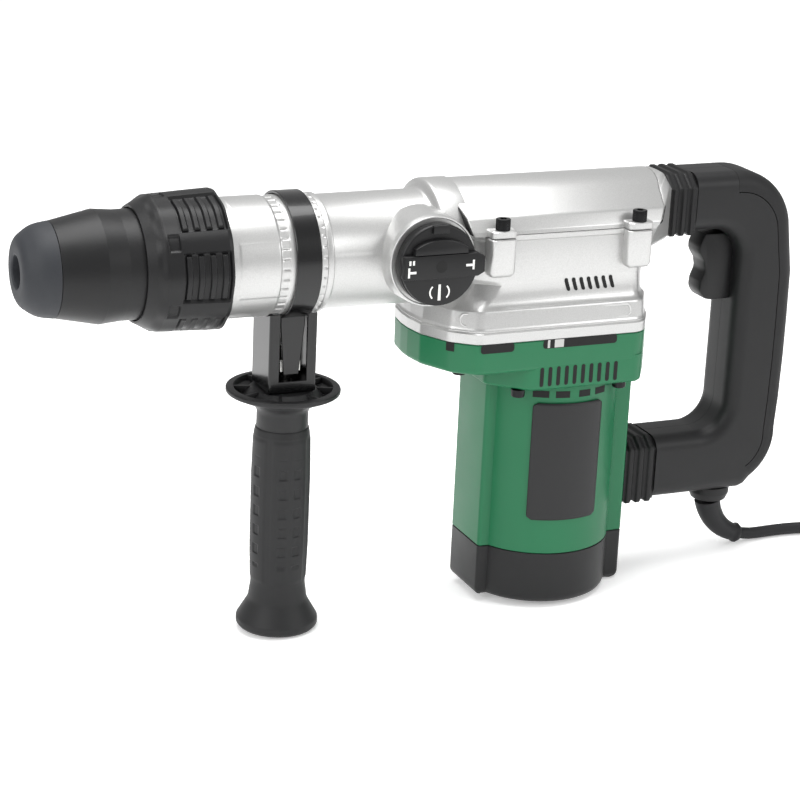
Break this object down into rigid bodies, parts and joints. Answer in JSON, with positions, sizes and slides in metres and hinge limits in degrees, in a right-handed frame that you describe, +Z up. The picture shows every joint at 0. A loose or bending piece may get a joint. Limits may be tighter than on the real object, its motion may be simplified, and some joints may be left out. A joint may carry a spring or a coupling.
{
  "type": "rotary hammer",
  "caption": "Corded rotary hammer with a splined-bit socket, upright motor, clamped side handle and sprung D-shaped rear handle with a trigger and lead.",
  "frame": {"origin": "centre of the motor end cap's flat bottom, under the motor's axis", "axes": "+X from the tool socket to the rear handle along the barrel, +Z up along the motor's axis, -Y the side with the selector knob"},
  "size_m": [0.7051, 0.1692, 0.2687],
  "materials": {
    "casting": "satin silver paint",
    "green_moulding": "satin",
    "black_moulding": "fine texture",
    "soft_rubber": "matte",
    "coated_steel": "gloss black",
    "steel": "ground",
    "winding": "copper wire",
    "carbon": "matt",
    "label_film": "blank matt film"
  },
  "bodies": {
    "housing": {"gear_housing": "casting", "gear_cover": "casting", "barrel_tube": "casting", "front_bearing": "steel", "lock_spring": "steel", "housing_bolt_1": "coated_steel", "housing_bolt_2": "coated_steel", "housing_bolt_3": "coated_steel", "housing_bolt_4": "coated_steel", "motor_housing": "green_moulding", "motor_end_cap": "black_moulding", "label_plate": "label_film", "motor_screw_1": "coated_steel", "motor_screw_2": "coated_steel", "motor_screw_3": "coated_steel", "motor_screw_4": "coated_steel", "stator": "winding", "lower_bearing": "steel", "upper_bearing": "steel", "carbon_brush_front": "carbon", "carbon_brush_rear": "carbon", "guide_rod": "steel", "upper_bellows": "soft_rubber", "lower_bellows": "soft_rubber", "power_cord": "soft_rubber", "cord_coil": "soft_rubber", "cord_tail": "soft_rubber", "mains_plug": "soft_rubber"},
    "spindle": {"tool_holder": "steel", "nose_cap": "soft_rubber", "front_sleeve": "black_moulding", "locking_roller_top": "steel", "locking_roller_bottom": "steel", "ring_gear": "steel"},
    "lock_ring": {"locking_ring": "black_moulding"},
    "selector": {"selector_knob": "black_moulding", "selector_shaft": "steel"},
    "rotor": {"armature": "steel", "commutator": "winding", "cooling_fan": "black_moulding"},
    "crank": {"drive_gear": "steel"},
    "cross_drive": {"cross_shaft": "steel"},
    "piston_body": {"piston": "steel", "piston_pin": "steel"},
    "rod_body": {"connecting_rod": "steel", "crank_pin": "steel"},
    "striker_body": {"striker": "steel"},
    "impact_body": {"impact_bolt": "steel"},
    "side_clamp": {"clamp_band": "coated_steel", "handle_bracket": "coated_steel", "clamp_bolt": "steel"},
    "side_handle": {"side_handle_core": "black_moulding", "side_grip": "soft_rubber"},
    "rear_handle": {"handle_half_left": "black_moulding", "handle_half_right": "black_moulding", "handle_rear_cover": "soft_rubber", "switch_body": "carbon", "cable_gland": "black_moulding", "strain_relief": "soft_rubber"},
    "trigger_key": {"trigger": "black_moulding"}
  },
  "joints": [
    {"name": "motor_spin", "type": "hinge", "parent": "housing", "child": "rotor", "pos_m": [0, 0, 0.06], "axis": [0, 0, 1], "continuous": true},
    {"name": "crank_spin", "type": "hinge", "parent": "housing", "child": "crank", "pos_m": [-0.0345, 0, 0.1835], "axis": [0, 0, 1], "continuous": true},
    {"name": "cross_shaft_spin", "type": "hinge", "parent": "housing", "child": "cross_drive", "pos_m": [-0.0755, 0, 0.1835], "axis": [0, 0, 1], "continuous": true},
    {"name": "spindle_spin", "type": "hinge", "parent": "housing", "child": "spindle", "pos_m": [-0.06, 0, 0.2185], "axis": [1, 0, 0], "continuous": true},
    {"name": "lock_ring_slide", "type": "slide", "parent": "housing", "child": "lock_ring", "axis": [1, 0, 0], "range_m": [0, 0.0075], "stiffness_N_per_m": 900, "springref_m": -0.004, "deforming": ["lock_spring"]},
    {"name": "selector_turn", "type": "hinge", "parent": "housing", "child": "selector", "pos_m": [-0.097, -0.0435, 0.2205], "axis": [0, 1, 0], "range_deg": [0, 180]},
    {"name": "piston_slide", "type": "slide", "parent": "housing", "child": "piston_body", "axis": [1, 0, 0], "range_m": [0, 0.028]},
    {"name": "rod_swing", "type": "hinge", "parent": "piston_body", "child": "rod_body", "pos_m": [-0.115, 0, 0.2185], "axis": [0, 0, 1], "range_deg": [-10, 10]},
    {"name": "striker_slide", "type": "slide", "parent": "housing", "child": "striker_body", "axis": [1, 0, 0], "range_m": [-0.012, 0.01]},
    {"name": "impact_bolt_slide", "type": "slide", "parent": "housing", "child": "impact_body", "axis": [1, 0, 0], "range_m": [-0.0025, 0.005]},
    {"name": "side_clamp_turn", "type": "hinge", "parent": "housing", "child": "side_clamp", "pos_m": [-0.1685, 0, 0.2185], "axis": [1, 0, 0], "range_deg": [-90, 90]},
    {"name": "side_grip_turn", "type": "hinge", "parent": "side_clamp", "child": "side_handle", "pos_m": [-0.1685, 0, 0.0665], "axis": [0, 0, 1], "range_deg": [-180, 180]},
    {"name": "rear_handle_give", "type": "slide", "parent": "housing", "child": "rear_handle", "axis": [1, 0, 0], "range_m": [-0.005, 0], "stiffness_N_per_m": 12000, "springref_m": 0.002, "deforming": ["upper_bellows", "lower_bellows"]},
    {"name": "trigger_pull", "type": "slide", "parent": "rear_handle", "child": "trigger_key", "axis": [1, 0, 0], "range_m": [0, 0.006], "stiffness_N_per_m": 900, "springref_m": -0.003}
  ],
  "couplings": [
    {"joint": "crank_spin", "follows": "motor_spin", "ratio": -0.21053},
    {"joint": "cross_shaft_spin", "follows": "motor_spin", "ratio": 0.47059},
    {"joint": "spindle_spin", "follows": "motor_spin", "ratio": 0.1426}
  ]
}
